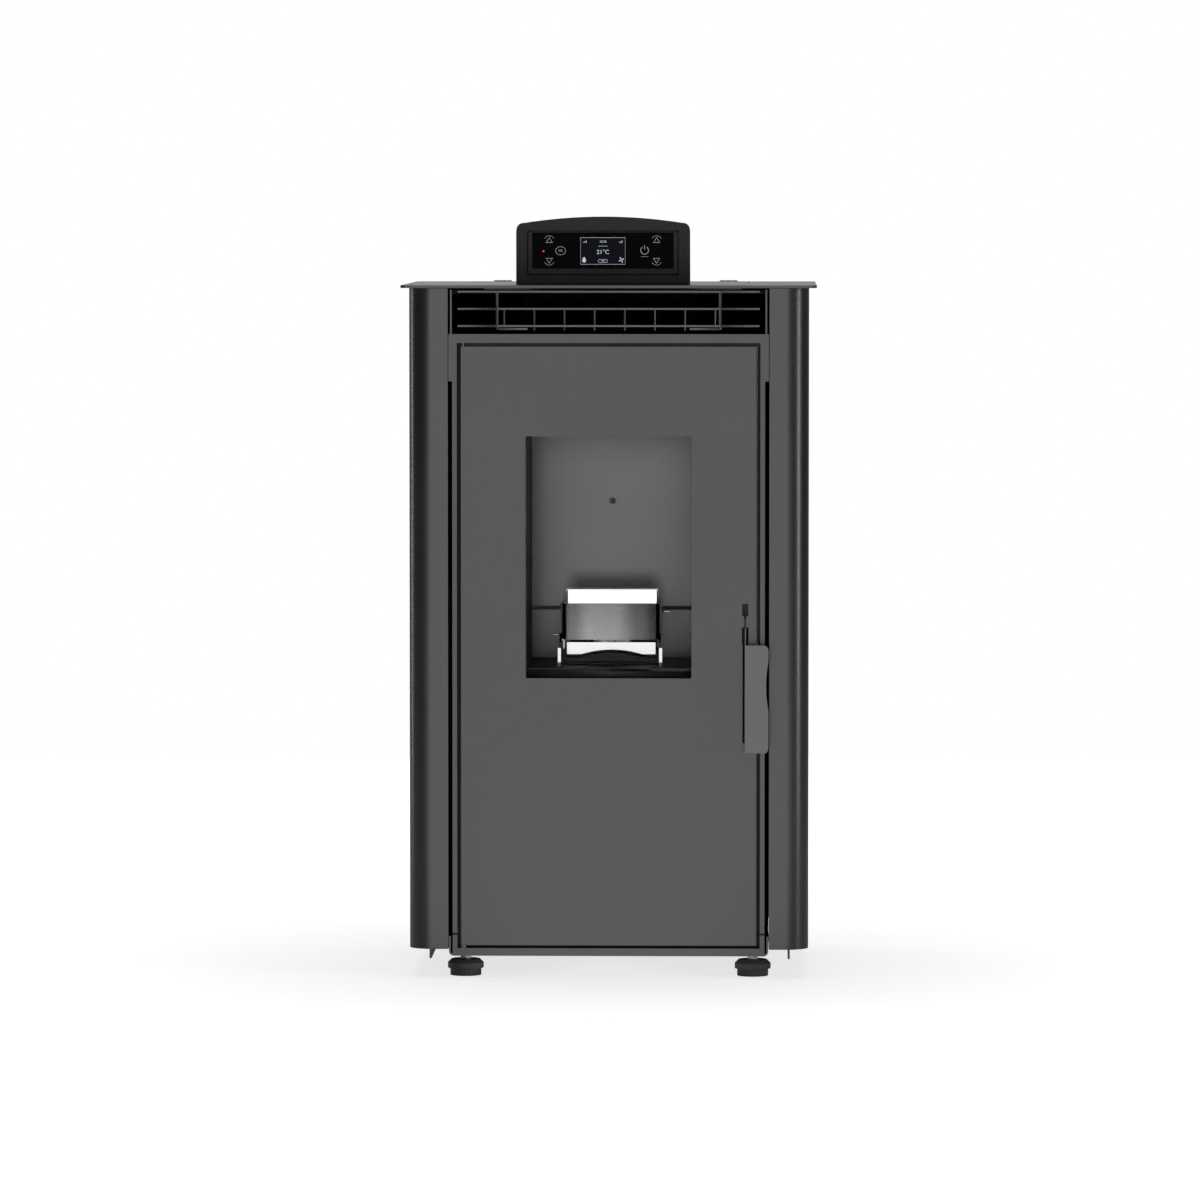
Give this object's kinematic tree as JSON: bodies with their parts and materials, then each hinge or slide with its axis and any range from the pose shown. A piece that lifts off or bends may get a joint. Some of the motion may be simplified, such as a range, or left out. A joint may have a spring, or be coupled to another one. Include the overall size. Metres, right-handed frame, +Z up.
{
  "type": "pellet stove",
  "caption": "Narrow free-standing pellet stove with a windowed door, a wire warm-air outlet, a raised control pod, a rear hopper under a hinged lid and levelling feet.",
  "frame": {"origin": "middle of the footprint, on the floor", "axes": "+X to the viewer's right, +Y to the back, +Z up"},
  "size_m": [0.466, 0.4338, 0.855],
  "materials": {
    "painted": "satin black heat-proof powder coat",
    "iron": "matt black stove paint on steel plate",
    "zinc": "zinc-plated steel",
    "stainless": "bright stainless steel",
    "plastic": "moulded black plastic",
    "rubber": "moulded black rubber",
    "rope": "woven glass-fibre rope",
    "panel_glass": "gloss black touch glass",
    "door_glass": "clear glass-ceramic pane",
    "board": "green circuit board",
    "switch_red": "moulded red plastic"
  },
  "bodies": {
    "cabinet": {"base_tray": "painted", "side_panel_right": "painted", "side_panel_left": "painted", "side_bracket_right": "painted", "side_bracket_left": "painted", "front_frame": "painted", "outlet_grille": "painted", "top_plate": "painted", "rear_plate_upper": "painted", "rear_plate_lower": "painted", "rear_panel": "painted", "firebox": "iron", "rear_plate_screw": "iron", "hearth_guard": "iron", "heat_exchanger": "iron", "auger_motor": "iron", "door_hinge_pin_lower": "zinc", "door_hinge_pin_upper": "zinc", "latch_keeper": "zinc", "exhaust_housing": "zinc", "blower_housing": "zinc", "exhaust_motor": "zinc", "blower_motor": "zinc", "auger_tube": "zinc", "drop_chute": "zinc", "hopper": "zinc", "hopper_grid": "zinc", "air_intake_pipe": "zinc", "pot_cradle": "stainless", "ash_deflector": "stainless", "igniter": "stainless", "control_housing": "plastic", "control_bezel": "plastic", "power_inlet": "plastic", "control_glass": "panel_glass", "display_board": "board", "mainboard": "board"},
    "door": {"door_panel": "painted", "door_liner": "iron", "door_glass": "door_glass", "glass_gasket": "rope", "glass_clamp": "iron", "door_gasket": "rope", "handle_pin": "zinc"},
    "handle": {"door_handle": "painted"},
    "lid": {"hopper_lid": "painted"},
    "pot": {"burn_pot": "stainless"},
    "pan": {"ash_pan": "iron"},
    "feed_screw": {"auger": "stainless"},
    "exhaust_wheel": {"exhaust_impeller": "stainless"},
    "blower_wheel": {"blower_impeller": "plastic"},
    "switch": {"power_switch": "switch_red"},
    "foot_front_left": {"foot_pad_front_left": "rubber", "foot_stud_front_left": "zinc"},
    "foot_front_right": {"foot_pad_front_right": "rubber", "foot_stud_front_right": "zinc"},
    "foot_rear_left": {"foot_pad_rear_left": "rubber", "foot_stud_rear_left": "zinc"},
    "foot_rear_right": {"foot_pad_rear_right": "rubber", "foot_stud_rear_right": "zinc"}
  },
  "joints": [
    {"name": "door_hinge", "type": "hinge", "parent": "cabinet", "child": "door", "pos_m": [-0.1635, -0.1909, 0.3735], "axis": [0, 0, -1], "range_deg": [0, 105]},
    {"name": "handle_pivot", "type": "hinge", "parent": "door", "child": "handle", "pos_m": [0.1536, -0.1908, 0.33], "axis": [0, 0, -1], "range_deg": [0, 28]},
    {"name": "lid_hinge", "type": "hinge", "parent": "cabinet", "child": "lid", "pos_m": [0, 0.1721, 0.777], "axis": [-1, 0, 0], "range_deg": [0, 75]},
    {"name": "pot_lift", "type": "slide", "parent": "cabinet", "child": "pot", "axis": [0, 0, 1], "range_m": [0, 0.05]},
    {"name": "pan_lift", "type": "slide", "parent": "cabinet", "child": "pan", "axis": [0, 0, 1], "range_m": [0, 0.012]},
    {"name": "auger_spin", "type": "hinge", "parent": "cabinet", "child": "feed_screw", "pos_m": [0, 0.11314, 0.47082], "axis": [0, -0.342, 0.9397], "continuous": true},
    {"name": "exhaust_spin", "type": "hinge", "parent": "cabinet", "child": "exhaust_wheel", "pos_m": [0.07, 0.0771, 0.13], "axis": [1, 0, 0], "continuous": true},
    {"name": "blower_spin", "type": "hinge", "parent": "cabinet", "child": "blower_wheel", "pos_m": [-0.07, 0.0771, 0.13], "axis": [1, 0, 0], "continuous": true},
    {"name": "switch_rock", "type": "hinge", "parent": "cabinet", "child": "switch", "pos_m": [-0.16, 0.1717, 0.1045], "axis": [-1, 0, 0], "range_deg": [0, 14]},
    {"name": "foot_front_left_height", "type": "slide", "parent": "cabinet", "child": "foot_front_left", "axis": [0, 0, -1], "range_m": [0, 0.01]},
    {"name": "foot_front_right_height", "type": "slide", "parent": "cabinet", "child": "foot_front_right", "axis": [0, 0, -1], "range_m": [0, 0.01]},
    {"name": "foot_rear_left_height", "type": "slide", "parent": "cabinet", "child": "foot_rear_left", "axis": [0, 0, -1], "range_m": [0, 0.01]},
    {"name": "foot_rear_right_height", "type": "slide", "parent": "cabinet", "child": "foot_rear_right", "axis": [0, 0, -1], "range_m": [0, 0.01]}
  ]
}
